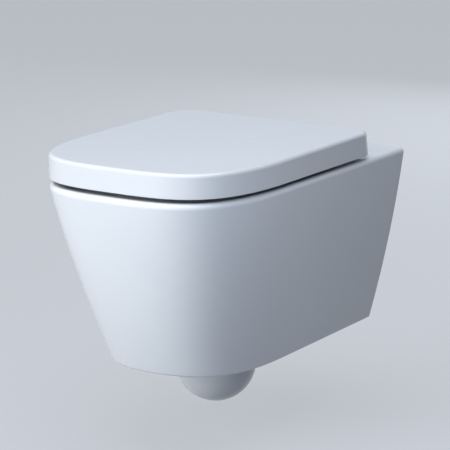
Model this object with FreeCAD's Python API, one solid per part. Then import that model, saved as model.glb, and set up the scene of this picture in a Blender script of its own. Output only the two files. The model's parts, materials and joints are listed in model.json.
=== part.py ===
import FreeCAD, Part
import math
import os

# Wall hung toilet with a wrap-over lid and a seat ring on soft-closing hinges.
# Millimetres. X is right as seen from the front, Y runs into the wall, Z is up.
# The origin is on the wall's surface, midway between the two wall fixing studs.

V = FreeCAD.Vector
X_DIR = V(1, 0, 0)
Y_DIR = V(0, 1, 0)
Z_DIR = V(0, 0, 1)
SIDES = {"left": -1, "right": 1}

# ---- Levels, measured from the fixing studs ----
DECK_Z = 100.0
INLET_Z = 35.0
OUTLET_Z = -100.0

# ---- Outer skin: its outline at the deck and at the foot of the skirt ----
SKIRT_DEPTH = 292.3
DECK_HALF_WIDTH = 181.2
DECK_STRAIGHT = 357.0
DECK_PROJECTION = 569.0
DECK_SIDE_PULL = 1.0
DECK_FRONT_PULL = 0.50
FOOT_HALF_WIDTH_AT_WALL = 119.8
FOOT_HALF_WIDTH = 126.7
FOOT_STRAIGHT = 272.0
FOOT_PROJECTION = 464.0
FOOT_SIDE_PULL = 0.51
FOOT_FRONT_PULL = 0.97
SIDE_BELLY = 0.357
DECK_EDGE_RADIUS = 9.5
FOOT_EDGE_RADIUS = 3.0

# ---- Walls of the fired body ----
SKIN_WALL = 9.0
DECK_WALL = 13.0
FLOOR_WALL = 10.0
REAR_WALL = 14.0
BOWL_WALL = 11.0
REAR_WALL_FOOT_Z = -24.0
UNDERSIDE_OPENING_DEPTH = 120.0
UNDERSIDE_OPENING_HALF_WIDTH = 106.0

# ---- Bowl: mouth in the deck, flush ledge under it, and the sections below ----
MOUTH_HALF_WIDTH = 135.0
MOUTH_FRONT = 519.0
MOUTH_REAR = 178.0
MOUTH_WIDEST = 335.0
MOUTH_PULL = 0.68
MOUTH_EDGE_RADIUS = 6.0
LEDGE_Z = 62.0
LEDGE_WIDTH = 9.0
# height, half width, front, rear, widest point, roundness (0.55 is an ellipse)
BOWL_SECTIONS = [
    (8.0, 117.0, 500.0, 203.0, 340.0, 0.64),
    (-62.0, 90.0, 465.0, 236.0, 340.0, 0.60),
    (-130.0, 56.0, 402.0, 262.0, 325.0, 0.57),
    (-192.0, 31.0, 326.0, 277.0, 301.0, 0.55),
]

# ---- Trap: sump below the bowl, rising leg, weir and outlet spigot ----
SUMP_Y = -279.7
SUMP_Z = -216.1
SUMP_BORE = 53.0
SUMP_WALL = 11.5
DIP_Z = -188.0
LEG_FOOT_Y = -247.0
LEG_FOOT_Z = -207.0
LEG_BORE = 27.0
LEG_ANGLE = 65.0
SPIGOT_BORE = 41.0
SPIGOT_RADIUS = 51.0
SPIGOT_LENGTH = 60.0
SPIGOT_SETBACK = 6.0
SPIGOT_CAST_DEPTH = 150.0
PIPE_WALL = 11.5

# ---- Flush inlet ----
INLET_SOCKET_RADIUS = 27.5
INLET_SOCKET_DEPTH = 45.0
INLET_PASSAGE_RADIUS = 23.0
INLET_WALL = 9.0
INLET_LENGTH = 190.0
HORN_LENGTH = 160.0

# ---- Concealed wall fixings ----
STUD_SPACING = 180.0
ANCHOR_RADIUS = 14.0
ANCHOR_LENGTH = 52.0
ANCHOR_BORE = 6.5
STUD_RADIUS = 6.0
WASHER_RADIUS = 12.0
WASHER_THICKNESS = 2.5
NUT_ACROSS_FLATS = 19.0
NUT_HEIGHT = 10.0
SLEEVE_WALL = 3.0
SLEEVE_FLANGE = 3.0
SLEEVE_FLANGE_THICKNESS = 2.3
SHELF_TOP_Z = -30.0
SHELF_THICKNESS = 12.0
SHELF_REACH = 46.0
SHELF_INNER_X = 66.0
CLAMP_SETBACK = 31.0
CLAMP_SCREW_RADIUS = 4.0
CLAMP_TIP_Z = -8.5
CLAMP_HEAD_RADIUS = 6.5
CLAMP_HEAD_HEIGHT = 8.0
BUSH_WALL = 4.6
BUSH_FLANGE_RADIUS = 13.0
BUSH_FLANGE_THICKNESS = 3.0

# ---- Hinges ----
HINGE_SPACING = 155.0
HINGE_AXIS_SETBACK = 103.0
HINGE_AXIS_RISE = 29.0
PIN_RADIUS = 4.0
PIN_INNER_X = 31.0
PIN_OUTER_X = 115.0
POST_RADIUS = 8.0
POST_OFFSET = 25.0
ARM_WIDTH = 13.0
ARM_HALF_HEIGHT = 6.0
ARM_BOSS_RADIUS = 7.0
GASKET_THICKNESS = 0.8
GASKET_RADIUS = 14.5
ROSETTE_RADIUS = 15.0
ROSETTE_THICKNESS = 3.0
HINGE_BOLT_RADIUS = 3.0
HINGE_BOLT_HEAD_RADIUS = 5.0
HINGE_BOLT_HEAD_HEIGHT = 6.0
HINGE_HOLE_RADIUS = 7.0
PLUG_LENGTH = 32.0
PLUG_BULGE = 1.6
PLUG_NUT_RADIUS = 6.0
PLUG_NUT_HEIGHT = 6.0
LUG_RADIUS = 8.0
LUG_BORE = 6.5
LID_LUG_LENGTH = 40.0
SEAT_LUG_LENGTH = 30.0
LUG_SIDE_GAP = 3.5
BUSH_END_RECESS = 1.0

# ---- Lid ----
LID_HALF_WIDTH = 181.0
LID_FRONT = 561.0
LID_STRAIGHT = 368.0
LID_REAR = 89.5
LID_SIDE_PULL = 1.0
LID_FRONT_PULL = 0.54
LID_GAP = 6.4
LID_HEIGHT = 37.7
LID_REAR_SLOPE = 7.5
LID_WALL = 4.0
LID_TOP_WALL = 5.0
LID_TOP_RADIUS = 5.5
LID_BOTTOM_RADIUS = 1.2
LID_CORNER_RADIUS = 37.0
LID_NOTCH_MARGIN = 2.0

# ---- Seat ring ----
SEAT_GAP = 6.3
SEAT_THICKNESS = 23.7
SEAT_SIDE_CLEARANCE = 4.0
SEAT_REAR = 130.0
SEAT_HOLE_HALF_WIDTH = 112.0
SEAT_HOLE_FRONT = 488.0
SEAT_HOLE_REAR = 222.0
SEAT_HOLE_WIDEST = 350.0
SEAT_HOLE_PULL = 0.62
SEAT_OUTER_RADIUS = 7.0
SEAT_INNER_RADIUS = 9.0
SEAT_CORNER_RADIUS = 20.0
SEAT_RECESS_DEPTH = 14.0
SEAT_RIB = 11.0
SEAT_RECESS_REAR = 165.0
POST_POCKET_CLEARANCE = 3.0
SEAT_BUFFER_RADIUS = 9.0
SEAT_BUFFER_BOSS = 3.0
SEAT_BUFFER_PLACES = [(148.0, 190.0), (138.0, 452.0)]
LID_BUFFER_RADIUS = 7.0
LID_BUFFER_PLACES = [(140.0, 215.0), (128.0, 442.0)]

# ---- Clearances ----
RUNNING = 0.05
FITTED = 0.05
LOOSE = 0.4
REST_GAP = 0.3

# ---- Worked out from the values above ----
FOOT_Z = DECK_Z - SKIRT_DEPTH
DECK_FOOT_Z = DECK_Z - DECK_WALL
STUD_X = STUD_SPACING / 2
HINGE_X = HINGE_SPACING / 2
AXIS_Y = -HINGE_AXIS_SETBACK
AXIS_Z = DECK_Z + HINGE_AXIS_RISE
POST_Y = AXIS_Y - POST_OFFSET
ROSETTE_Z = DECK_Z + GASKET_THICKNESS
POST_FOOT_Z = ROSETTE_Z + ROSETTE_THICKNESS
POST_TOP_Z = AXIS_Z + ARM_HALF_HEIGHT
LID_LUG_END = HINGE_X - ARM_WIDTH / 2 - LUG_SIDE_GAP
SEAT_LUG_START = HINGE_X + ARM_WIDTH / 2 + LUG_SIDE_GAP
LID_FOOT_Z = DECK_Z + LID_GAP
LID_TOP_Z = LID_FOOT_Z + LID_HEIGHT
LID_CEILING_Z = LID_TOP_Z - LID_TOP_WALL
SEAT_FOOT_Z = DECK_Z + SEAT_GAP
SEAT_TOP_Z = SEAT_FOOT_Z + SEAT_THICKNESS
SHELF_FOOT_Z = SHELF_TOP_Z - SHELF_THICKNESS
ELBOW_Y = LEG_FOOT_Y + (OUTLET_Z - LEG_FOOT_Z) / math.tan(math.radians(LEG_ANGLE))
SLEEVE_RADIUS = ANCHOR_RADIUS + FITTED + SLEEVE_WALL
BUSH_RADIUS = CLAMP_SCREW_RADIUS + BUSH_WALL
FAR = 1000.0


def box(x0, x1, y0, y1, z0, z1):
    return Part.makeBox(x1 - x0, y1 - y0, z1 - z0, V(x0, y0, z0))


def rod(radius, start, direction, length):
    return Part.makeCylinder(radius, length, start, direction)


def tube(outer, inner, start, direction, length):
    return rod(outer, start, direction, length).cut(rod(inner, start, direction, length))


def ball(radius, y, z):
    return Part.makeSphere(radius, V(0, y, z))


def hexagon(across_flats, start, direction, length):
    """A hexagonal bar along X, Y or Z."""
    corner = across_flats / math.sqrt(3)
    turn = FreeCAD.Rotation(Z_DIR, direction)
    points = []
    for i in range(7):
        angle = math.radians(60 * i)
        flat = V(corner * math.cos(angle), corner * math.sin(angle), 0)
        points.append(start + turn.multVec(flat))
    return Part.Face(Part.makePolygon(points)).extrude(direction * length)


def join(shapes):
    return shapes[0].multiFuse(shapes[1:]).removeSplitter()


def round_edges(shape, radius, wanted):
    edges = [e for e in shape.Edges if wanted(e)]
    return shape.makeFillet(radius, edges)


def level(z):
    """Tests whether an edge lies at one height."""
    return lambda e: abs(e.BoundBox.ZMin - z) < 1e-3 and abs(e.BoundBox.ZMax - z) < 1e-3


# ---- Outlines ----
def half_outline(half_width_rear, half_width, rear, straight, front, side_pull, front_pull):
    """The right half of an outline in plan: a straight side, then one curve round to the front."""
    spread = (half_width - half_width_rear) / straight
    reach = side_pull * (front - straight)
    return [
        (half_width_rear, rear),
        (half_width, -straight),
        (half_width + spread * reach, -straight - reach),
        (front_pull * half_width, -front),
        (0.0, -front),
    ]


def outline_wire(points, z):
    """The closed outline made of the right half, its mirror image and the rear edge."""
    edges = []
    for side in (1, -1):
        p = [V(side * x, y, z) for x, y in points]
        curve = Part.BezierCurve()
        curve.setPoles(p[1:])
        edges.append(Part.makeLine(p[0], p[1]))
        edges.append(curve.toShape())
    rear_x, rear_y = points[0]
    edges.append(Part.makeLine(V(-rear_x, rear_y, z), V(rear_x, rear_y, z)))
    return Part.Wire(Part.__sortEdges__(edges))


def egg_wire(half_width, front, rear, widest, pull, z):
    """A closed egg of four curves: half width at the widest point, then round front and rear."""
    edges = []
    for side in (1, -1):
        for end in (-front, -rear):
            reach = end + widest
            curve = Part.BezierCurve()
            curve.setPoles([
                V(side * half_width, -widest, z),
                V(side * half_width, -widest + reach * pull, z),
                V(side * half_width * pull, end, z),
                V(0, end, z),
            ])
            edges.append(curve.toShape())
    return Part.Wire(Part.__sortEdges__(edges))


def prism(wire, height):
    return Part.Face(wire).extrude(V(0, 0, height))


# ---- Outer skin ----
def patch(columns, middle_weight):
    """A smooth face on columns of three control points; the weight makes a round or a plain bend."""
    u_degree = len(columns) - 1
    v_degree = len(columns[0]) - 1
    surface = Part.BSplineSurface()
    surface.buildFromPolesMultsKnots(
        columns,
        [u_degree + 1, u_degree + 1],
        [v_degree + 1, v_degree + 1],
        [0.0, 1.0],
        [0.0, 1.0],
        False,
        False,
        u_degree,
        v_degree,
        [[1.0, middle_weight, 1.0] for column in columns],
    )
    return surface.toShape()


def deck_outline(inset, rear):
    return half_outline(
        DECK_HALF_WIDTH - inset, DECK_HALF_WIDTH - inset, rear, DECK_STRAIGHT,
        DECK_PROJECTION - inset, DECK_SIDE_PULL, DECK_FRONT_PULL,
    )


def foot_outline(inset, rear):
    return half_outline(
        FOOT_HALF_WIDTH_AT_WALL - inset, FOOT_HALF_WIDTH - inset, rear, FOOT_STRAIGHT,
        FOOT_PROJECTION - inset, FOOT_SIDE_PULL, FOOT_FRONT_PULL,
    )


def at_height(outline, z):
    return [V(x, y, z) for x, y in outline]


def weighted(rows, weights):
    return [sum((p * w for p, w in zip(points, weights)), V()) for points in zip(*rows)]


def skin(inset, rear, rounded):
    """The body's outside form, drawn in by inset and closed at y = rear.

    The flank swells between the deck's outline and the foot's. Rounded edges bend from the
    flank on to the deck and on to the foot, with the sharp outline as the corner they round.
    """
    deck = at_height(deck_outline(inset, rear), DECK_Z)
    foot = at_height(foot_outline(inset, rear), FOOT_Z)
    share = (1 - SIDE_BELLY) / 2
    belly = weighted([deck, foot], [1 - share, share])
    belly = [V(p.x, p.y, (DECK_Z + FOOT_Z) / 2) for p in belly]
    flank = [deck, belly, foot]

    def along(t0, t1):
        """The flank's control row for the stretch from t0 to t1 of its depth."""
        return weighted(flank, [(1 - t0) * (1 - t1), t0 + t1 - 2 * t0 * t1, t0 * t1])

    bands = [(flank, 1.0)]
    deck_rim, foot_rim = deck, foot
    if rounded:
        start = DECK_EDGE_RADIUS / SKIRT_DEPTH
        end = 1 - FOOT_EDGE_RADIUS / SKIRT_DEPTH
        upper, lower = along(start, start), along(end, end)
        deck_rim = at_height(deck_outline(inset + DECK_EDGE_RADIUS, rear), DECK_Z)
        foot_rim = at_height(foot_outline(inset + FOOT_EDGE_RADIUS, rear), FOOT_Z)
        round_weight = math.cos(math.radians(45))
        bands = [
            ([deck_rim, deck, upper], round_weight),
            ([upper, along(start, end), lower], 1.0),
            ([lower, foot, foot_rim], round_weight),
        ]
    faces = []
    rear_edges = []
    for side in (1, -1):
        for rows, weight in bands:
            columns = [[V(side * p.x, p.y, p.z) for p in column] for column in zip(*rows)]
            faces.append(patch(columns[:2], weight))
            faces.append(patch(columns[1:], weight))
            curve = Part.BezierCurve()
            curve.setPoles(columns[0])
            curve.setWeight(2, weight)
            rear_edges.append(curve.toShape())
    for rim in (deck_rim, foot_rim):
        p = rim[0]
        rear_edges.append(Part.makeLine(V(-p.x, p.y, p.z), p))
        faces.append(Part.Face(outline_wire([(q.x, q.y) for q in rim], p.z)))
    faces.append(Part.Face(Part.Wire(Part.__sortEdges__(rear_edges))))
    shell = Part.makeShell(faces)
    shell.sewShape()
    solid = Part.Solid(Part.Shell(shell.Faces))
    if solid.Volume < 0:
        solid.reverse()
    return solid


# ---- Bowl, trap and inlet, as the space inside (grow 0) or with a wall round it ----
def bowl_form(grow):
    wires = [
        egg_wire(
            MOUTH_HALF_WIDTH - LEDGE_WIDTH + grow, MOUTH_FRONT - LEDGE_WIDTH + grow,
            MOUTH_REAR + LEDGE_WIDTH - grow, MOUTH_WIDEST, MOUTH_PULL, LEDGE_Z,
        )
    ]
    for z, half_width, front, rear, widest, pull in BOWL_SECTIONS:
        wires.append(egg_wire(half_width + grow, front + grow, rear - grow, widest, pull, z))
    return Part.makeLoft(wires, True, False)


def mouth_form(grow, foot_z, top_z):
    wire = egg_wire(
        MOUTH_HALF_WIDTH + grow, MOUTH_FRONT + grow, MOUTH_REAR - grow, MOUTH_WIDEST, MOUTH_PULL, foot_z
    )
    return prism(wire, top_z - foot_z)


def capsule(start, direction, steps):
    """A rod with a hemispherical start, in steps of radius and length."""
    radius = steps[0][0]
    top = start - direction * radius
    middle = start + (X_DIR - direction) * (radius / math.sqrt(2))
    here = start
    corner = start + X_DIR * radius
    edges = [Part.Arc(top, middle, corner).toShape()]
    for radius, length in steps:
        points = [here + X_DIR * radius, here + direction * length + X_DIR * radius]
        if points[0].distanceToPoint(corner) > 1e-6:
            edges.append(Part.makeLine(corner, points[0]))
        edges.append(Part.makeLine(points[0], points[1]))
        corner = points[1]
        here = here + direction * length
    edges.append(Part.makeLine(corner, here))
    edges.append(Part.makeLine(here, top))
    return Part.Face(Part.Wire(edges)).revolve(start, direction, 360)


def trap_form(sump, leg, pipe_steps):
    """Sump, rising leg, elbow at the weir and the level run to the wall."""
    rise = OUTLET_Z - LEG_FOOT_Z
    angle = math.radians(LEG_ANGLE)
    along = V(0, math.cos(angle), math.sin(angle))
    return [
        sump,
        capsule(V(0, LEG_FOOT_Y, LEG_FOOT_Z), along, [(leg, rise / math.sin(angle))]),
        capsule(V(0, ELBOW_Y, OUTLET_Z), Y_DIR, pipe_steps),
    ]


def trap_walls():
    sump = ball(SUMP_BORE + SUMP_WALL, SUMP_Y, SUMP_Z)
    run = -SPIGOT_SETBACK - SPIGOT_LENGTH - ELBOW_Y
    pipe_steps = [(SPIGOT_BORE + PIPE_WALL, run), (SPIGOT_RADIUS, SPIGOT_LENGTH)]
    return trap_form(sump, LEG_BORE + BOWL_WALL, pipe_steps)


def trap_space():
    below_dip = box(-FAR, FAR, -FAR, FAR, -FAR, DIP_Z)
    sump = ball(SUMP_BORE, SUMP_Y, SUMP_Z).common(below_dip)
    return trap_form(sump, LEG_BORE, [(SPIGOT_BORE, SPIGOT_SETBACK - ELBOW_Y)])


def inlet_space():
    past = 20.0
    passage = rod(INLET_PASSAGE_RADIUS, V(0, -INLET_LENGTH - past, INLET_Z), Y_DIR, INLET_LENGTH + past)
    socket = rod(INLET_SOCKET_RADIUS, V(0, -INLET_SOCKET_DEPTH, INLET_Z), Y_DIR, INLET_SOCKET_DEPTH + past)
    return [passage, socket]


# ---- The pan: one fired body, kept as the parts that are cast and joined before firing ----
def hollow_form():
    """The space that the skin encloses, carried past the rear face."""
    return skin(SKIN_WALL, SPIGOT_SETBACK, False)


def water_spaces():
    spaces = [bowl_form(0.0), mouth_form(0.0, LEDGE_Z, DECK_Z + DECK_WALL)]
    spaces += trap_space()
    spaces += inlet_space()
    return spaces


def cut_all(shape, spaces):
    for space in spaces:
        shape = shape.cut(space)
    return shape.removeSplitter()


def pan_shell():
    """The deck, the swelling skirt and the floor round the trap, open to the wall behind."""
    inner = hollow_form()
    spaces = [
        inner.common(box(-FAR, FAR, -FAR, FAR, FOOT_Z + FLOOR_WALL, DECK_FOOT_Z)),
        inner.common(box(
            -UNDERSIDE_OPENING_HALF_WIDTH, UNDERSIDE_OPENING_HALF_WIDTH,
            -UNDERSIDE_OPENING_DEPTH, FAR, FOOT_Z, FOOT_Z + 2 * FLOOR_WALL,
        )),
        mouth_form(0.0, LEDGE_Z, DECK_Z + DECK_WALL),
        bowl_form(BOWL_WALL),
    ]
    spaces += trap_walls()
    for side in SIDES.values():
        hole = V(side * HINGE_X, POST_Y, DECK_FOOT_Z - DECK_WALL)
        spaces.append(rod(HINGE_HOLE_RADIUS, hole, Z_DIR, 3 * DECK_WALL))
    shell = cut_all(skin(0.0, 0.0, True), spaces)

    def at_mouth(edge):
        b = edge.BoundBox
        inside = b.YMin > -MOUTH_FRONT - 1 and b.YMax < -MOUTH_REAR + 1
        return level(DECK_Z)(edge) and inside and abs(b.XMin) < MOUTH_HALF_WIDTH + 1

    return round_edges(shell, MOUTH_EDGE_RADIUS, at_mouth)


def pan_bowl():
    """The bowl under the deck's mouth, with the stub that the inlet horn is joined to."""
    stub = rod(
        INLET_SOCKET_RADIUS + INLET_WALL, V(0, -INLET_LENGTH, INLET_Z), Y_DIR, INLET_LENGTH - HORN_LENGTH
    )
    collar = mouth_form(BOWL_WALL, LEDGE_Z - BOWL_WALL, DECK_FOOT_Z)
    return cut_all(bowl_form(BOWL_WALL).multiFuse([collar, stub]), water_spaces())


def trap_part(zone):
    """The part of the trap that is cast in one mould, inside the zone given."""
    walls = trap_walls()
    whole = cut_all(walls[0].multiFuse(walls[1:]), [bowl_form(BOWL_WALL)] + trap_space())
    return whole.common(zone).removeSplitter()


def pan_sump():
    return trap_part(box(-FAR, FAR, -FAR, -SPIGOT_CAST_DEPTH, -FAR, DIP_Z))


def pan_trap():
    return trap_part(box(-FAR, FAR, -FAR, -SPIGOT_CAST_DEPTH, DIP_Z, FAR))


def outlet_spigot():
    return trap_part(box(-FAR, FAR, -SPIGOT_CAST_DEPTH, FAR, -FAR, FAR))


def inlet_horn():
    horn = rod(INLET_SOCKET_RADIUS + INLET_WALL, V(0, -HORN_LENGTH, INLET_Z), Y_DIR, HORN_LENGTH)
    return cut_all(horn, inlet_space())


def pan_back():
    """The rear wall, with a ledge on each side that a clamp screw passes through."""
    pieces = [box(-FAR, FAR, -REAR_WALL, 0, REAR_WALL_FOOT_Z, DECK_FOOT_Z)]
    spaces = [rod(INLET_SOCKET_RADIUS + INLET_WALL, V(0, -REAR_WALL * 2, INLET_Z), Y_DIR, REAR_WALL * 3)]
    for side in SIDES.values():
        ends = sorted((side * SHELF_INNER_X, side * DECK_HALF_WIDTH))
        pieces.append(box(ends[0], ends[1], -REAR_WALL, 0, SHELF_FOOT_Z, DECK_FOOT_Z))
        pieces.append(box(ends[0], ends[1], -REAR_WALL - SHELF_REACH, 0, SHELF_FOOT_Z, SHELF_TOP_Z))
        stud = V(side * STUD_X, -REAR_WALL * 2, 0)
        spaces.append(rod(SLEEVE_RADIUS + LOOSE, stud, Y_DIR, REAR_WALL * 3))
        clamp = V(side * STUD_X, -CLAMP_SETBACK, SHELF_FOOT_Z - 1)
        spaces.append(rod(BUSH_RADIUS + LOOSE, clamp, Z_DIR, SHELF_THICKNESS + 2))
    return cut_all(join(pieces).common(hollow_form()), spaces)


def flush_distributor():
    """The insert that turns the flush to both sides along the ledge."""
    radius = INLET_PASSAGE_RADIUS - RUNNING * 4
    wall = 2.8
    sleeve_length = 40.0
    sleeve_proud = 8.0
    reach = 22.0
    plate = 4.0
    half_width = 30.0
    half_height = 17.0
    web_half_width = 11.0
    start_y = -INLET_LENGTH - sleeve_proud
    sleeve = tube(radius, radius - wall, V(0, start_y, INLET_Z), Y_DIR, sleeve_length)
    front_y = start_y - reach + plate
    face = box(
        -half_width, half_width, front_y - plate, front_y, INLET_Z - half_height, INLET_Z + half_height
    )
    face = round_edges(face, half_height / 2, lambda e: e.BoundBox.YLength > plate / 2)
    pieces = [sleeve, face]
    for way in (-1, 1):
        z = INLET_Z + way * (half_height - plate / 2)
        pieces.append(box(
            -web_half_width, web_half_width, front_y - plate / 2, start_y + plate, z - plate / 2, z + plate / 2
        ))
    return join(pieces)


# ---- Concealed wall fixings ----
def anchor(side):
    """The round steel anchor that a wall stud holds; the pan hangs on it."""
    x = side * STUD_X
    body = tube(ANCHOR_RADIUS, ANCHOR_BORE, V(x, -ANCHOR_LENGTH, 0), Y_DIR, ANCHOR_LENGTH)
    hole_foot = V(x, -CLAMP_SETBACK, -ANCHOR_RADIUS - 1)
    thread = rod(CLAMP_SCREW_RADIUS + RUNNING, hole_foot, Z_DIR, ANCHOR_RADIUS + 2 + CLAMP_TIP_Z)
    return body.cut(thread)


def anchor_washer(side):
    start = V(side * STUD_X, -ANCHOR_LENGTH - WASHER_THICKNESS, 0)
    return tube(WASHER_RADIUS, ANCHOR_BORE - RUNNING * 4, start, Y_DIR, WASHER_THICKNESS)


def anchor_nut(side):
    start = V(side * STUD_X, -ANCHOR_LENGTH - WASHER_THICKNESS - NUT_HEIGHT, 0)
    nut = hexagon(NUT_ACROSS_FLATS, start, Y_DIR, NUT_HEIGHT)
    return nut.cut(rod(STUD_RADIUS + RUNNING, start, Y_DIR, NUT_HEIGHT))


def anchor_sleeve(side):
    """Nylon between the anchor and the hole in the pan's rear wall, with a flange inside."""
    x = side * STUD_X
    bore = ANCHOR_RADIUS + FITTED
    barrel = tube(SLEEVE_RADIUS, bore, V(x, -REAR_WALL, 0), Y_DIR, REAR_WALL)
    flange_start = V(x, -REAR_WALL - SLEEVE_FLANGE_THICKNESS, 0)
    flange = tube(SLEEVE_RADIUS + SLEEVE_FLANGE, bore, flange_start, Y_DIR, SLEEVE_FLANGE_THICKNESS)
    return join([barrel, flange])


def clamp_bush(side):
    x = side * STUD_X
    bore = CLAMP_SCREW_RADIUS + RUNNING * 2
    barrel = tube(BUSH_RADIUS, bore, V(x, -CLAMP_SETBACK, SHELF_FOOT_Z), Z_DIR, SHELF_THICKNESS)
    flange_foot = V(x, -CLAMP_SETBACK, SHELF_FOOT_Z - BUSH_FLANGE_THICKNESS)
    flange = tube(BUSH_FLANGE_RADIUS, bore, flange_foot, Z_DIR, BUSH_FLANGE_THICKNESS)
    return join([barrel, flange])


def socket_screw(radius, head_radius, head_height, head_start, direction, length):
    """A screw that points along direction, with a hexagon socket in its head."""
    head = rod(head_radius, head_start, direction, head_height)
    shank = rod(radius, head_start + direction * head_height, direction, length)
    socket = hexagon(radius * 1.5, head_start, direction, head_height / 2)
    return join([head, shank]).cut(socket)


def clamp_screw(side):
    head_foot_z = SHELF_FOOT_Z - BUSH_FLANGE_THICKNESS - CLAMP_HEAD_HEIGHT
    start = V(side * STUD_X, -CLAMP_SETBACK, head_foot_z)
    length = CLAMP_TIP_Z - head_foot_z - CLAMP_HEAD_HEIGHT
    return socket_screw(CLAMP_SCREW_RADIUS, CLAMP_HEAD_RADIUS, CLAMP_HEAD_HEIGHT, start, Z_DIR, length)


# ---- Hinge parts that stay on the pan ----
def hinge_gasket(side):
    foot = V(side * HINGE_X, POST_Y, DECK_Z)
    return tube(GASKET_RADIUS, HINGE_BOLT_RADIUS + LOOSE, foot, Z_DIR, GASKET_THICKNESS)


def hinge_rosette(side):
    foot = V(side * HINGE_X, POST_Y, ROSETTE_Z)
    disc = rod(ROSETTE_RADIUS, foot, Z_DIR, ROSETTE_THICKNESS)
    disc = round_edges(disc, ROSETTE_THICKNESS / 3, level(ROSETTE_Z + ROSETTE_THICKNESS))
    return disc.cut(rod(HINGE_BOLT_RADIUS + LOOSE, foot, Z_DIR, ROSETTE_THICKNESS))


def hinge_post(side):
    """A post on the rosette whose arm reaches back to hold the hinge pin."""
    x = side * HINGE_X
    half = ARM_WIDTH / 2
    foot = V(x, POST_Y, POST_FOOT_Z)
    post = rod(POST_RADIUS, foot, Z_DIR, POST_TOP_Z - POST_FOOT_Z)
    arm = box(x - half, x + half, POST_Y, AXIS_Y, AXIS_Z - ARM_HALF_HEIGHT, POST_TOP_Z)
    boss = rod(ARM_BOSS_RADIUS, V(x - half, AXIS_Y, AXIS_Z), X_DIR, ARM_WIDTH)
    body = join([post, arm, boss])
    head_room = HINGE_BOLT_HEAD_RADIUS + LOOSE
    spaces = [
        rod(PIN_RADIUS, V(x - half, AXIS_Y, AXIS_Z), X_DIR, ARM_WIDTH),
        rod(HINGE_BOLT_RADIUS + LOOSE, foot, Z_DIR, POST_TOP_Z - POST_FOOT_Z),
        rod(head_room, V(x, POST_Y, POST_TOP_Z - HINGE_BOLT_HEAD_HEIGHT), Z_DIR, HINGE_BOLT_HEAD_HEIGHT),
    ]
    return body.cut(spaces[0].multiFuse(spaces[1:]))


def hinge_pin(side):
    start = V(side * PIN_INNER_X, AXIS_Y, AXIS_Z)
    pin = rod(PIN_RADIUS, start, X_DIR * side, PIN_OUTER_X - PIN_INNER_X)
    return pin.makeChamfer(PIN_RADIUS / 8, [e for e in pin.Edges if e.BoundBox.XLength < 1e-3])


def hinge_plug(side):
    """A rubber plug in the deck's hole, swollen below the deck where the nut pulls it up."""
    top = V(side * HINGE_X, POST_Y, DECK_Z)
    neck = rod(HINGE_HOLE_RADIUS - FITTED, top, -Z_DIR, PLUG_LENGTH)
    swollen_length = PLUG_LENGTH - DECK_WALL - 1
    swollen = rod(
        HINGE_HOLE_RADIUS + PLUG_BULGE, V(top.x, top.y, DECK_Z - PLUG_LENGTH), Z_DIR, swollen_length
    )
    swollen = round_edges(swollen, PLUG_BULGE, lambda e: e.BoundBox.ZLength < 1e-3)
    return join([neck, swollen]).cut(rod(HINGE_BOLT_RADIUS + FITTED, top, -Z_DIR, PLUG_LENGTH))


def plug_nut(side):
    foot = V(side * HINGE_X, POST_Y, DECK_Z - PLUG_LENGTH - PLUG_NUT_HEIGHT)
    nut = hexagon(PLUG_NUT_RADIUS * 2, foot, Z_DIR, PLUG_NUT_HEIGHT)
    return nut.cut(rod(HINGE_BOLT_RADIUS + FITTED, foot, Z_DIR, PLUG_NUT_HEIGHT))


def hinge_bolt(side):
    head_top = V(side * HINGE_X, POST_Y, POST_TOP_Z)
    tip_z = DECK_Z - PLUG_LENGTH - PLUG_NUT_HEIGHT - 1
    length = POST_TOP_Z - HINGE_BOLT_HEAD_HEIGHT - tip_z
    return socket_screw(
        HINGE_BOLT_RADIUS, HINGE_BOLT_HEAD_RADIUS, HINGE_BOLT_HEAD_HEIGHT, head_top, -Z_DIR, length
    )


def lug_sleeve(side, start_x, length):
    """A bush, or a soft-closing damper's case, that fills a lug's bore and turns on the pin."""
    start = V(side * (start_x + BUSH_END_RECESS), AXIS_Y, AXIS_Z)
    return tube(
        LUG_BORE - FITTED / 2, PIN_RADIUS + RUNNING, start, X_DIR * side, length - 2 * BUSH_END_RECESS
    )


# ---- Lid ----
def rounded_block(inset, foot_z, top_z, rear, rear_slope, corner):
    """The lid's outline as a block, with a sloping rear face and rounded rear corners."""
    points = half_outline(
        LID_HALF_WIDTH - inset, LID_HALF_WIDTH - inset, -rear - inset, LID_STRAIGHT,
        LID_FRONT - inset, LID_SIDE_PULL, LID_FRONT_PULL,
    )
    block = prism(outline_wire(points, foot_z), top_z - foot_z)
    rear_y = -rear - inset
    height = top_z - foot_z
    if rear_slope > 0:
        slice_points = [
            V(-FAR, rear_y, foot_z),
            V(-FAR, rear_y - rear_slope, top_z),
            V(-FAR, rear_y + height, top_z),
            V(-FAR, rear_y + height, foot_z),
            V(-FAR, rear_y, foot_z),
        ]
        block = block.cut(Part.Face(Part.makePolygon(slice_points)).extrude(V(2 * FAR, 0, 0)))

    def rear_corner(edge):
        b = edge.BoundBox
        return b.ZLength > height - 1e-3 and b.YMax > rear_y - rear_slope - 1e-3

    return round_edges(block, corner - inset, rear_corner)


def lid_lug(side):
    start = V(side * (LID_LUG_END - LID_LUG_LENGTH), AXIS_Y, AXIS_Z)
    boss = rod(LUG_RADIUS, start, X_DIR * side, LID_LUG_LENGTH)
    inner = side * (LID_LUG_END - LID_LUG_LENGTH)
    outer = side * LID_LUG_END
    web = box(
        min(inner, outer), max(inner, outer), AXIS_Y - LUG_RADIUS, AXIS_Y + LUG_RADIUS / 2,
        AXIS_Z, LID_CEILING_Z + LID_TOP_WALL / 2,
    )
    return join([boss, web])


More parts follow.
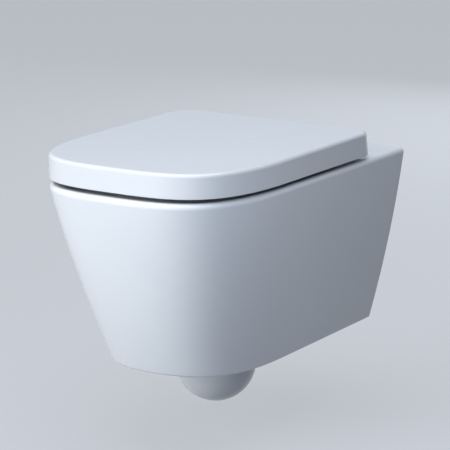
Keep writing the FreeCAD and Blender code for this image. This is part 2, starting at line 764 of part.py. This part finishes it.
def lid_shell():
    block = rounded_block(0.0, LID_FOOT_Z, LID_TOP_Z, LID_REAR, LID_REAR_SLOPE, LID_CORNER_RADIUS)
    block = round_edges(block, LID_TOP_RADIUS, level(LID_TOP_Z))
    block = round_edges(block, LID_BOTTOM_RADIUS, level(LID_FOOT_Z))
    wall_slope = LID_REAR_SLOPE * (LID_CEILING_Z - LID_FOOT_Z + 1) / LID_HEIGHT
    hollow = rounded_block(
        LID_WALL, LID_FOOT_Z - 1, LID_CEILING_Z, LID_REAR, wall_slope, LID_CORNER_RADIUS
    )
    lid = block.cut(hollow)
    notch_inner = HINGE_X - POST_RADIUS - LID_NOTCH_MARGIN
    notch_outer = SEAT_LUG_START + SEAT_LUG_LENGTH + LID_NOTCH_MARGIN
    for side in SIDES.values():
        lid = lid.fuse(lid_lug(side))
        bore_start = V(side * (LID_LUG_END - LID_LUG_LENGTH), AXIS_Y, AXIS_Z)
        lid = lid.cut(rod(LUG_BORE, bore_start, X_DIR * side, LID_LUG_LENGTH))
        ends = sorted((side * notch_inner, side * notch_outer))
        notch = box(
            ends[0], ends[1], -LID_REAR - LID_REAR_SLOPE - 2 * LID_WALL, -LID_REAR + 1,
            LID_FOOT_Z - 1, LID_CEILING_Z,
        )
        lid = lid.cut(notch)
    return lid.removeSplitter()


def lid_buffers():
    height = LID_CEILING_Z - SEAT_TOP_Z - REST_GAP
    pieces = []
    for x, y in LID_BUFFER_PLACES:
        for side in SIDES.values():
            start = V(side * x, -y, SEAT_TOP_Z + REST_GAP)
            pad = rod(LID_BUFFER_RADIUS, start, Z_DIR, height)
            pieces.append(round_edges(pad, 1.5, level(SEAT_TOP_Z + REST_GAP)))
    return Part.makeCompound(pieces)


# ---- Seat ring ----
def seat_lug(side):
    start = V(side * SEAT_LUG_START, AXIS_Y, AXIS_Z)
    boss = rod(LUG_RADIUS, start, X_DIR * side, SEAT_LUG_LENGTH)
    ends = sorted((side * SEAT_LUG_START, side * (SEAT_LUG_START + SEAT_LUG_LENGTH)))
    web = box(
        ends[0], ends[1], -SEAT_REAR - SEAT_RIB, AXIS_Y, AXIS_Z - LUG_RADIUS, SEAT_TOP_Z
    )
    return join([boss, web])


def seat_ring():
    inset = LID_WALL + SEAT_SIDE_CLEARANCE
    ring = rounded_block(
        inset, SEAT_FOOT_Z, SEAT_TOP_Z, SEAT_REAR - inset, 0.0, SEAT_CORNER_RADIUS + inset
    )
    ring = round_edges(ring, SEAT_OUTER_RADIUS, level(SEAT_TOP_Z))
    hole = egg_wire(
        SEAT_HOLE_HALF_WIDTH, SEAT_HOLE_FRONT, SEAT_HOLE_REAR, SEAT_HOLE_WIDEST, SEAT_HOLE_PULL,
        SEAT_FOOT_Z - 1,
    )
    ring = ring.cut(prism(hole, SEAT_THICKNESS + 2))

    def at_hole(edge):
        b = edge.BoundBox
        return level(SEAT_TOP_Z)(edge) and b.YMin > -SEAT_HOLE_FRONT - 1 and b.YMax < -SEAT_HOLE_REAR + 1

    ring = round_edges(ring, SEAT_INNER_RADIUS, at_hole)
    recess_outer = rounded_block(
        inset + SEAT_RIB, SEAT_FOOT_Z - 1, SEAT_FOOT_Z + SEAT_RECESS_DEPTH,
        SEAT_RECESS_REAR - inset - SEAT_RIB, 0.0, SEAT_CORNER_RADIUS + inset + SEAT_RIB,
    )
    kept_wire = egg_wire(
        SEAT_HOLE_HALF_WIDTH + SEAT_RIB, SEAT_HOLE_FRONT + SEAT_RIB, SEAT_HOLE_REAR - SEAT_RIB,
        SEAT_HOLE_WIDEST, SEAT_HOLE_PULL, SEAT_FOOT_Z - 2,
    )
    kept = [prism(kept_wire, SEAT_THICKNESS)]
    for x, y in SEAT_BUFFER_PLACES:
        for side in SIDES.values():
            start = V(side * x, -y, SEAT_FOOT_Z - 2)
            kept.append(rod(SEAT_BUFFER_RADIUS + SEAT_BUFFER_BOSS, start, Z_DIR, SEAT_THICKNESS))
    ring = ring.cut(recess_outer.cut(kept[0].multiFuse(kept[1:])))
    for side in SIDES.values():
        ring = ring.fuse(seat_lug(side))
        bore_start = V(side * SEAT_LUG_START, AXIS_Y, AXIS_Z)
        ring = ring.cut(rod(LUG_BORE, bore_start, X_DIR * side, SEAT_LUG_LENGTH))
        reach = POST_RADIUS + POST_POCKET_CLEARANCE
        x = side * HINGE_X
        pocket = box(
            x - reach, x + reach, POST_Y - reach, -SEAT_REAR + 1, SEAT_FOOT_Z - 1, SEAT_TOP_Z + 1
        )
        ring = ring.cut(pocket)
    return ring.removeSplitter()


def seat_buffers():
    pieces = []
    for x, y in SEAT_BUFFER_PLACES:
        for side in SIDES.values():
            start = V(side * x, -y, DECK_Z + REST_GAP)
            pad = rod(SEAT_BUFFER_RADIUS, start, Z_DIR, SEAT_GAP - REST_GAP)
            pieces.append(round_edges(pad, 1.5, level(DECK_Z + REST_GAP)))
    return Part.makeCompound(pieces)


def both(make):
    return Part.makeCompound([make(side) for side in SIDES.values()])


def build():
    nodes = {
        "pan_shell": pan_shell(),
        "pan_bowl": pan_bowl(),
        "pan_sump": pan_sump(),
        "pan_trap": pan_trap(),
        "outlet_spigot": outlet_spigot(),
        "pan_back": pan_back(),
        "inlet_horn": inlet_horn(),
        "flush_distributor": flush_distributor(),
        "anchor_washers": both(anchor_washer),
        "anchor_nuts": both(anchor_nut),
        "clamp_bushes": both(clamp_bush),
        "clamp_screws": both(clamp_screw),
        "hinge_gaskets": both(hinge_gasket),
        "hinge_bolts": both(hinge_bolt),
        "plug_nuts": both(plug_nut),
        "seat_ring": seat_ring(),
        "seat_buffers": seat_buffers(),
        "lid_shell": lid_shell(),
        "lid_buffers": lid_buffers(),
    }
    for name, side in SIDES.items():
        nodes["wall_anchor_" + name] = anchor(side)
        nodes["anchor_sleeve_" + name] = anchor_sleeve(side)
        nodes["hinge_rosette_" + name] = hinge_rosette(side)
        nodes["hinge_post_" + name] = hinge_post(side)
        nodes["hinge_pin_" + name] = hinge_pin(side)
        nodes["hinge_plug_" + name] = hinge_plug(side)
    lid_start = LID_LUG_END - LID_LUG_LENGTH
    nodes["lid_damper"] = lug_sleeve(SIDES["left"], lid_start, LID_LUG_LENGTH)
    nodes["lid_bush"] = lug_sleeve(SIDES["right"], lid_start, LID_LUG_LENGTH)
    nodes["seat_damper"] = lug_sleeve(SIDES["right"], SEAT_LUG_START, SEAT_LUG_LENGTH)
    nodes["seat_bush"] = lug_sleeve(SIDES["left"], SEAT_LUG_START, SEAT_LUG_LENGTH)
    return nodes


os.makedirs("parts", exist_ok=True)
for node, shape in build().items():
    shape.exportStep("parts/" + node + ".step")
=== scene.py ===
import json
import math
from collections import namedtuple

import bpy
from mathutils import Matrix, Vector


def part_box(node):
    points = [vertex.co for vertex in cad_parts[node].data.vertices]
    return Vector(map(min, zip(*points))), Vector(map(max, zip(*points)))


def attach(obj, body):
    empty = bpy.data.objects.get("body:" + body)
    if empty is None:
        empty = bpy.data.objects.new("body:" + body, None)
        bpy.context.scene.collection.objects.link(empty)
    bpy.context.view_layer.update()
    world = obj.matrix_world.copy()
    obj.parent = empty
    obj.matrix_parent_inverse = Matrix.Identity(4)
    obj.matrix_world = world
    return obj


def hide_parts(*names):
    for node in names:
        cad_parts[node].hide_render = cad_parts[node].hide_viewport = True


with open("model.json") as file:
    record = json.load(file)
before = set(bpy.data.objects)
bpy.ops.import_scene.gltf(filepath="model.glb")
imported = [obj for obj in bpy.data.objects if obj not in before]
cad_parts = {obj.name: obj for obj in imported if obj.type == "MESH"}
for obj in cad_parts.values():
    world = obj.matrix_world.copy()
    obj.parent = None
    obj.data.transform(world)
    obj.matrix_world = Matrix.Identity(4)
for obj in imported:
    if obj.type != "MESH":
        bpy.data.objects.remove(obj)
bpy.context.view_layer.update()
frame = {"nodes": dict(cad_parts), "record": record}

# A wall hung toilet in a plain studio. Metres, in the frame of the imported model:
# X is right as seen from the front, Y runs into the wall, Z is up.

# ---- Camera: the photograph's viewing angle ----
CAMERA_AT = Vector((2.1518, -3.6227, 0.9240))
CAMERA_AZIMUTH = math.radians(32.557)
CAMERA_ELEVATION = math.radians(13.036)
CAMERA_LENS = 208.43
CAMERA_SENSOR = 36.0

# ---- Floor and sky: dim where they light the object, pale where they are seen or mirrored ----
FLOOR_Z = -0.327
FLOOR_SIZE = 60.0
FLOOR_COLOUR = (0.15, 0.16, 0.175)
FLOOR_GLOW = (0.42, 0.44, 0.465)
SKY_COLOUR = (0.76, 0.83, 0.97)
SKY_LIGHT = 0.07
SKY_SEEN = 0.64

# ---- Lamps: soft rectangles that all point at one spot. Only a mirrored lamp shows in gloss. ----
LAMP_AIM = Vector((0, -0.3, 0))
WIDE = math.pi
NARROW = math.radians(75)
Lamp = namedtuple("Lamp", "name at width height watts colour spread mirrored")
LAMPS = [
    Lamp("key", (-1.95, -3.3, 1.3), 2.4, 1.8, 97, (0.975, 0.985, 1.0), WIDE, False),
    Lamp("top", (0.3, -0.7, 2.8), 3.0, 3.0, 62, (0.92, 0.96, 1.0), WIDE, True),
    Lamp("back", (-0.5, 2.6, 0.8), 1.8, 1.4, 30, (0.95, 0.975, 1.0), WIDE, False),
    Lamp("fill", (0.66, -1.00, 0.40), 0.5, 0.5, 2.5, (0.81, 0.87, 1.0), WIDE, False),
    Lamp("bounce", (-0.60, -2.0, -0.08), 1.2, 0.2, 1.4, (0.95, 0.975, 1.0), NARROW, False),
]

# ---- Painted shade in narrow gaps: how far it reaches, and the open share at which it is full and gone ----
GAP_REACH = 0.025
GAP_SHUT = 0.08
GAP_OPEN = 0.50
GAP_DARKEST = 0.16
GAP_SAMPLES = 12

# ---- The glaze stops at the wall: its normal's Y share, and the depth, between which it does ----
WALL_FACING = (0.90, 0.97)
WALL_DEPTH = (-0.010, -0.007)

# ---- Socket head screws. Each share is of the radius that it is named after. ----
SCREW_STEPS = 72
THREAD_ROWS_PER_TURN = 6
THREAD_DEPTH_SHARE = 0.5
SOCKET_FLATS_SHARE = 1.5
HEAD_EDGE_SHARE = 0.06
KNURL_SHARE = 0.02
Screw = namedtuple("Screw", "radius head_radius head_height pitch")
CLAMP_SCREW = Screw(0.004, 0.0065, 0.008, 0.00125)
HINGE_BOLT = Screw(0.003, 0.005, 0.006, 0.001)
UP = Vector((0, 0, 1))


# ---- Shader nodes ----
class Graph:
    """A node tree, with short ways to add nodes to it one at a time."""

    def __init__(self, tree):
        self.tree = tree

    def add(self, kind, inputs=None, **settings):
        made = self.tree.nodes.new("ShaderNode" + kind)
        for key, value in settings.items():
            setattr(made, key, value)
        for key, value in (inputs or {}).items():
            self.put(made.inputs[key], value)
        return made

    def put(self, socket, value):
        if isinstance(value, bpy.types.NodeSocket):
            self.tree.links.new(value, socket)
        else:
            socket.default_value = value

    def remap(self, value, low, high, to_low=0.0, to_high=1.0):
        """Takes low to to_low and high to to_high, and stays between them."""
        return self.add("MapRange", {
            "Value": value, "From Min": low, "From Max": high, "To Min": to_low, "To Max": to_high,
        }).outputs["Result"]

    def math(self, operation, a, b=0.0):
        return self.add("Math", {0: a, 1: b}, operation=operation, use_clamp=False).outputs[0]

    def seen_directly(self):
        """1 for rays that show a surface itself, and 0 for those that carry its light to others."""
        rays = self.add("LightPath").outputs
        straight = self.math("MAXIMUM", rays["Is Camera Ray"], rays["Is Glossy Ray"])
        return self.math("MAXIMUM", straight, rays["Is Transmission Ray"])


class Surface(Graph):
    """The nodes of a new material, whose textures lie in the object's own metres."""

    def __init__(self, name):
        self.material = bpy.data.materials.new(name)
        self.material.use_nodes = True
        super().__init__(self.material.node_tree)
        self.shader = self.tree.nodes["Principled BSDF"]
        self.place = self.add("TexCoord").outputs["Object"]

    def set(self, **values):
        """Shader inputs by name, with _ for a space."""
        for key, value in values.items():
            self.put(self.shader.inputs[key.replace("_", " ")], value)

    def noise(self, size, detail=3.0, roughness=0.5, distortion=0.0):
        """Cloudy noise whose features are about size metres wide."""
        return self.add("TexNoise", {
            "Vector": self.place, "Scale": 1 / size, "Detail": detail,
            "Roughness": roughness, "Distortion": distortion,
        }).outputs["Fac"]

    def cloud(self, size, detail=3.0, roughness=0.5, distortion=0.0, low=0.3, high=0.7):
        """Noise spread over the whole of 0 to 1."""
        return self.remap(self.noise(size, detail, roughness, distortion), low, high)

    def mix(self, factor, a, b):
        """Blends two colours."""
        made = self.add("Mix", data_type="RGBA")
        self.put(made.inputs["Factor"], factor)
        for socket, value in ((made.inputs[6], a), (made.inputs[7], b)):
            self.put(socket, value if isinstance(value, bpy.types.NodeSocket) else (*value, 1))
        return made.outputs[2]

    def tint(self, share, strength, colour, towards):
        """Takes a colour part of the way towards another."""
        return self.mix(self.math("MULTIPLY", share, strength), colour, towards)

    def blend_vectors(self, factor, a, b):
        return self.add("Mix", {"Factor": factor, 4: a, 5: b}, data_type="VECTOR").outputs[1]

    def bump(self, height, distance, strength=1.0, under=None):
        inputs = {"Height": height, "Distance": distance, "Strength": strength}
        if under is not None:
            inputs["Normal"] = under
        return self.add("Bump", inputs).outputs["Normal"]

    def paint_gap_shade(self, colour):
        """Paints shade into a colour where another surface is close: painted shade in narrow gaps."""
        near = self.add("AmbientOcclusion", {"Distance": GAP_REACH}, samples=GAP_SAMPLES)
        kept = self.remap(near.outputs["AO"], GAP_SHUT, GAP_OPEN, GAP_DARKEST, 1.0)
        shaded = self.add(
            "Mix", {"Factor": 1.0, 6: colour, 7: kept}, data_type="RGBA", blend_type="MULTIPLY",
        )
        return shaded.outputs[2]

    def y_of(self, vector):
        return self.add("SeparateXYZ", {"Vector": vector}).outputs[1]


# ---- Materials ----
def wall_face(g):
    """1 on the face that meets the wall, where the china is bare, and 0 on the glaze."""
    facing = g.y_of(g.add("NewGeometry").outputs["Normal"])
    depth = g.y_of(g.place)
    return g.math("MULTIPLY", g.remap(facing, *WALL_FACING), g.remap(depth, *WALL_DEPTH))


def bare_china(g):
    """Unglazed fired clay with a fine grain and old stains: its colour, and the normal of its grain."""
    grain = g.noise(0.0009, detail=5.0, roughness=0.7)
    clay = g.mix(g.remap(grain, 0.3, 0.7), (0.60, 0.585, 0.55), (0.80, 0.79, 0.76))
    stain = g.cloud(0.035, detail=5.0, roughness=0.62, low=0.50, high=0.72)
    colour = g.tint(stain, 0.5, clay, (0.58, 0.55, 0.50))
    return colour, g.bump(grain, distance=0.00025, strength=0.8)


def glazed_china():
    """White glaze on vitreous china: faint pooling, fine waves and pinholes; the wall face is bare."""
    g = Surface("glazed_china")
    pooled = g.cloud(0.11, detail=2.0)
    glaze = g.mix(pooled, (0.856, 0.898, 0.944), (0.876, 0.914, 0.956))
    pinholes = g.cloud(0.0011, detail=1.0, low=0.735, high=0.80)
    glaze = g.tint(pinholes, 0.18, glaze, (0.60, 0.60, 0.60))
    waves = g.bump(g.noise(0.020, detail=2.0), distance=0.00012, strength=0.35)
    peel = g.bump(g.noise(0.0028, detail=2.0), distance=0.00002, strength=0.5, under=waves)
    on_wall = wall_face(g)
    clay, grain = bare_china(g)
    gloss = g.remap(g.noise(0.03), 0.3, 0.7, 0.10, 0.16)
    g.set(
        # The base colour carries painted shade in narrow gaps.
        Base_Color=g.paint_gap_shade(g.mix(on_wall, glaze, clay)),
        Roughness=g.math("ADD", gloss, g.math("MULTIPLY", on_wall, 0.6)),
        Normal=g.blend_vectors(on_wall, peel, grain),
        IOR=1.52,
        Coat_Weight=0.35,
        Coat_Roughness=0.03,
    )
    return g.material


def duroplast(name, light, shade):
    """Pressed white duroplast: very even gloss, a trace of flow in its colour and a light polish."""
    g = Surface(name)
    flow = g.cloud(0.16, detail=2.0, distortion=0.8)
    grain = g.noise(0.0004, detail=2.0)
    colour = g.tint(grain, 0.05, g.mix(flow, shade, light), (0.66, 0.68, 0.70))
    waves = g.bump(g.noise(0.045, detail=1.0), distance=0.00010, strength=0.25)
    g.set(
        # The base colour carries painted shade in narrow gaps.
        Base_Color=g.paint_gap_shade(colour),
        Roughness=g.remap(g.noise(0.012), 0.3, 0.7, 0.13, 0.19),
        Normal=g.bump(g.noise(0.0016, detail=2.0), distance=0.000008, strength=0.5, under=waves),
        IOR=1.5,
        Coat_Weight=0.25,
        Coat_Roughness=0.05,
    )
    return g.material


def moulded_plastic(name, light, shade, roughness, grain_size):
    """Injection moulded plastic with a fine spark-eroded grain."""
    g = Surface(name)
    grain = g.noise(grain_size, roughness=0.6)
    g.set(
        Base_Color=g.mix(g.cloud(0.012), shade, light),
        Roughness=g.remap(grain, 0.3, 0.7, roughness - 0.06, roughness + 0.06),
        Normal=g.bump(grain, distance=0.00003, strength=0.6),
    )
    return g.material


def rubber(name, light, shade):
    """Soft rubber or elastomer, with bloom in patches and a matt grain."""
    g = Surface(name)
    bloom = g.cloud(0.007, detail=4.0, roughness=0.6, low=0.35, high=0.75)
    grain = g.noise(0.0005)
    g.set(
        Base_Color=g.mix(bloom, shade, light),
        Roughness=g.remap(grain, 0.3, 0.7, 0.55, 0.75),
        Normal=g.bump(grain, distance=0.00004, strength=0.6),
    )
    return g.material


def chrome():
    """Bright chrome plate with hairline polish marks and a trace of lime."""
    g = Surface("chrome_plate")
    lime = g.cloud(0.004, detail=5.0, roughness=0.6, low=0.62, high=0.80)
    hairlines = g.noise(0.0007, detail=6.0, roughness=0.8, distortion=1.5)
    polish = g.remap(hairlines, 0.3, 0.7, 0.05, 0.10)
    g.set(
        Base_Color=g.mix(lime, (0.80, 0.81, 0.82), (0.66, 0.67, 0.68)),
        Metallic=1.0,
        Roughness=g.math("ADD", polish, g.math("MULTIPLY", lime, 0.15)),
        Normal=g.bump(hairlines, distance=0.000004, strength=0.5),
    )
    return g.material


def turned_steel():
    """Stainless steel with the fine rings of a lathe, square to each pin's length."""
    g = Surface("turned_steel")
    rings = g.add("TexWave", {
        "Vector": g.place, "Scale": 1300.0, "Distortion": 1.5, "Detail": 2.0,
    }, wave_type="BANDS", bands_direction="X").outputs["Fac"]
    g.set(
        Base_Color=g.mix(g.cloud(0.006, detail=4.0), (0.56, 0.57, 0.59), (0.64, 0.65, 0.67)),
        Metallic=1.0,
        Roughness=g.remap(rings, 0.0, 1.0, 0.20, 0.30),
        Normal=g.bump(rings, distance=0.000006, strength=0.5),
    )
    return g.material


def zinc_plate():
    """Bright zinc on steel: a faint blue and straw passivation, and small crystals."""
    g = Surface("zinc_plate")
    film = g.cloud(0.010, distortion=1.0)
    crystals = g.add("TexVoronoi", {"Vector": g.place, "Scale": 1400.0}).outputs["Distance"]
    g.set(
        Base_Color=g.mix(film, (0.60, 0.64, 0.70), (0.70, 0.67, 0.58)),
        Metallic=1.0,
        Roughness=g.remap(crystals, 0.0, 0.7, 0.26, 0.40),
        Normal=g.bump(crystals, distance=0.00001, strength=0.5),
    )
    return g.material


def brass():
    """Turned brass that has dulled unevenly."""
    g = Surface("plain_brass")
    dull = g.cloud(0.003, detail=5.0, roughness=0.6, low=0.35, high=0.70)
    g.set(
        Base_Color=g.mix(dull, (0.78, 0.60, 0.30), (0.50, 0.36, 0.18)),
        Metallic=1.0,
        Roughness=g.remap(dull, 0.0, 1.0, 0.22, 0.45),
        Normal=g.bump(g.noise(0.0008), distance=0.00001, strength=0.5),
    )
    return g.material


def studio_floor():
    """A plain matt floor that stays pale far away, where no lamp reaches it."""
    g = Surface("studio_floor")
    darker = tuple(c * 0.985 for c in FLOOR_COLOUR)
    g.set(
        Base_Color=g.mix(g.cloud(0.5), darker, FLOOR_COLOUR),
        Roughness=0.75,
        Normal=g.bump(g.noise(0.002), distance=0.0001, strength=0.2),
        Emission_Color=(*FLOOR_GLOW, 1),
        Emission_Strength=g.seen_directly(),
    )
    return g.material


# ---- Socket head screws ----
def turns(steps):
    return [2 * math.pi * j / steps for j in range(steps)]


def ring(radius, z):
    return [(radius * math.cos(a), radius * math.sin(a), z) for a in turns(SCREW_STEPS)]


def hexagon_ring(across_flats, z):
    """A hexagon given by as many points as the round rings that it joins."""
    points = []
    for angle in turns(SCREW_STEPS):
        off_flat = (angle + math.pi / 6) % (math.pi / 3) - math.pi / 6
        reach = across_flats / 2 / math.cos(off_flat)
        points.append((reach * math.cos(angle), reach * math.sin(angle), z))
    return points


def knurled_ring(radius, z):
    """A ring whose every other point is cut in a little."""
    points = []
    for j, (x, y, _) in enumerate(ring(radius, 0.0)):
        kept = 1 - KNURL_SHARE * (j % 2)
        points.append((x * kept, y * kept, z))
    return points


def thread_rings(radius, pitch, length):
    """Rings up a shank whose radius follows a helical vee thread, which runs out at both ends."""
    depth = pitch * THREAD_DEPTH_SHARE
    count = round(length / pitch * THREAD_ROWS_PER_TURN)
    rows = []
    for i in range(count + 1):
        along = length * i / count
        run_out = max(0.0, min(1.0, along / pitch, (length - along) / pitch))
        chamfer = depth * max(0.0, along - length + pitch) / pitch
        row = []
        for j, angle in enumerate(turns(SCREW_STEPS)):
            turn = (along / pitch - j / SCREW_STEPS) % 1.0
            groove = abs(2 * turn - 1)
            reach = radius - depth * groove * run_out - chamfer
            row.append((reach * math.cos(angle), reach * math.sin(angle), along))
        rows.append(row)
    return rows


def screw_rings(size, length):
    """From the floor of the socket, over the knurled head, to the thread's end."""
    socket = size.radius * SOCKET_FLATS_SHARE
    edge = size.head_radius * HEAD_EDGE_SHARE
    rows = [
        hexagon_ring(socket, size.head_height / 2),
        hexagon_ring(socket, edge / 2),
        hexagon_ring(socket + edge, 0.0),
        ring(size.head_radius - edge, 0.0),
        ring(size.head_radius, edge),
        knurled_ring(size.head_radius, 2 * edge),
        knurled_ring(size.head_radius, size.head_height - 2 * edge),
        ring(size.head_radius, size.head_height - edge),
        ring(size.head_radius - edge, size.head_height),
        ring(size.radius, size.head_height),
    ]
    for row in thread_rings(size.radius, size.pitch, length):
        rows.append([(x, y, z + size.head_height) for x, y, z in row])
    return rows


def skin(name, rows):
    """A closed mesh through rows of equally many points, capped at both ends."""
    steps = len(rows[0])
    last = (len(rows) - 1) * steps
    faces = []
    for start in range(0, last, steps):
        for j in range(steps):
            k = (j + 1) % steps
            faces.append((start + j, start + k, start + steps + k, start + steps + j))
    faces.append(tuple(reversed(range(steps))))
    faces.append(tuple(last + j for j in range(steps)))
    mesh = bpy.data.meshes.new(name)
    mesh.from_pydata([point for row in rows for point in row], [], faces)
    mesh.validate()
    return mesh


def replace_screws(node, name, size, into, material):
    """Puts a threaded screw in place of each of a node's two plain ones. It points along into."""
    low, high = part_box(node)
    head_z = low.z if into.z > 0 else high.z
    length = high.z - low.z - size.head_height
    upright = into.to_track_quat("Z", "X").to_matrix().to_4x4()
    made = []
    for side, x in (("left", low.x + size.head_radius), ("right", high.x - size.head_radius)):
        at = Vector((x, (low.y + high.y) / 2, head_z))
        mesh = skin(name + "_" + side, screw_rings(size, length))
        mesh.transform(Matrix.Translation(at) @ upright)
        mesh.materials.append(material)
        screw = bpy.data.objects.new(mesh.name, mesh)
        bpy.context.scene.collection.objects.link(screw)
        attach(screw, "pan")
        made.append(screw)
    for screw in made:
        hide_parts(node)


# ---- Materials on the carried-over nodes ----
def dress_nodes(finishes):
    """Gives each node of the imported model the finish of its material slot."""
    for row in frame["record"]["subparts"]:
        node = frame["nodes"][row["node"]]
        node.data.materials.clear()
        node.data.materials.append(finishes[row["material_slot"]])


# ---- Studio ----
def build_floor():
    half = FLOOR_SIZE / 2
    corners = [(x * half, y * half, FLOOR_Z) for x, y in ((-1, -1), (1, -1), (1, 1), (-1, 1))]
    mesh = bpy.data.meshes.new("floor")
    mesh.from_pydata(corners, [], [(0, 1, 2, 3)])
    mesh.materials.append(studio_floor())
    floor = bpy.data.objects.new("floor", mesh)
    bpy.context.scene.collection.objects.link(floor)


def point_along(thing, direction):
    thing.rotation_mode = "QUATERNION"
    thing.rotation_quaternion = direction.to_track_quat("-Z", "Y")


def build_lamps():
    for row in LAMPS:
        light = bpy.data.lights.new(row.name, "AREA")
        light.shape = "RECTANGLE"
        light.size = row.width
        light.size_y = row.height
        light.energy = row.watts
        light.color = row.colour
        light.spread = row.spread
        lamp = bpy.data.objects.new(row.name, light)
        lamp.location = row.at
        lamp.visible_camera = False
        lamp.visible_glossy = row.mirrored
        point_along(lamp, LAMP_AIM - lamp.location)
        bpy.context.scene.collection.objects.link(lamp)


def build_sky():
    sky = bpy.data.worlds.new("studio")
    sky.use_nodes = True
    g = Graph(sky.node_tree)
    background = g.tree.nodes["Background"]
    g.put(background.inputs["Color"], (*SKY_COLOUR, 1))
    g.put(background.inputs["Strength"], g.remap(g.seen_directly(), 0.0, 1.0, SKY_LIGHT, SKY_SEEN))
    bpy.context.scene.world = sky


def build_camera():
    camera = bpy.data.objects.new("camera", bpy.data.cameras.new("camera"))
    camera.location = CAMERA_AT
    camera.data.lens = CAMERA_LENS
    camera.data.sensor_width = CAMERA_SENSOR
    level = math.cos(CAMERA_ELEVATION)
    point_along(camera, Vector((
        -math.sin(CAMERA_AZIMUTH) * level,
        math.cos(CAMERA_AZIMUTH) * level,
        -math.sin(CAMERA_ELEVATION),
    )))
    bpy.context.scene.collection.objects.link(camera)
    bpy.context.scene.camera = camera


# ---- The finish of each material slot ----
FINISHES = {
    "glazed_ceramic": glazed_china(),
    "lid_plastic": duroplast("lid_duroplast", (0.775, 0.812, 0.850), (0.761, 0.798, 0.837)),
    "seat_plastic": duroplast("seat_duroplast", (0.745, 0.780, 0.816), (0.731, 0.766, 0.803)),
    "white_plastic": moulded_plastic(
        "white_moulding", (0.80, 0.82, 0.84), (0.77, 0.79, 0.81), roughness=0.30, grain_size=0.0006,
    ),
    "hinge_metal": chrome(),
    "pin_steel": turned_steel(),
    "zinc_steel": zinc_plate(),
    "brass": brass(),
    "nylon": moulded_plastic(
        "natural_nylon", (0.76, 0.76, 0.71), (0.70, 0.70, 0.65), roughness=0.42, grain_size=0.0008,
    ),
    "damper_plastic": moulded_plastic(
        "damper_case", (0.022, 0.022, 0.024), (0.014, 0.014, 0.016), roughness=0.40, grain_size=0.0007,
    ),
    "rubber": rubber("black_rubber", (0.030, 0.030, 0.030), (0.016, 0.016, 0.016)),
    "buffer_rubber": rubber("pale_elastomer", (0.64, 0.67, 0.69), (0.58, 0.61, 0.63)),
}

dress_nodes(FINISHES)
replace_screws("clamp_screws", "clamp_screw", CLAMP_SCREW, UP, FINISHES["zinc_steel"])
replace_screws("hinge_bolts", "hinge_bolt", HINGE_BOLT, -UP, FINISHES["pin_steel"])
build_floor()
build_lamps()
build_sky()
build_camera()
bpy.context.scene.view_settings.view_transform = "Standard"
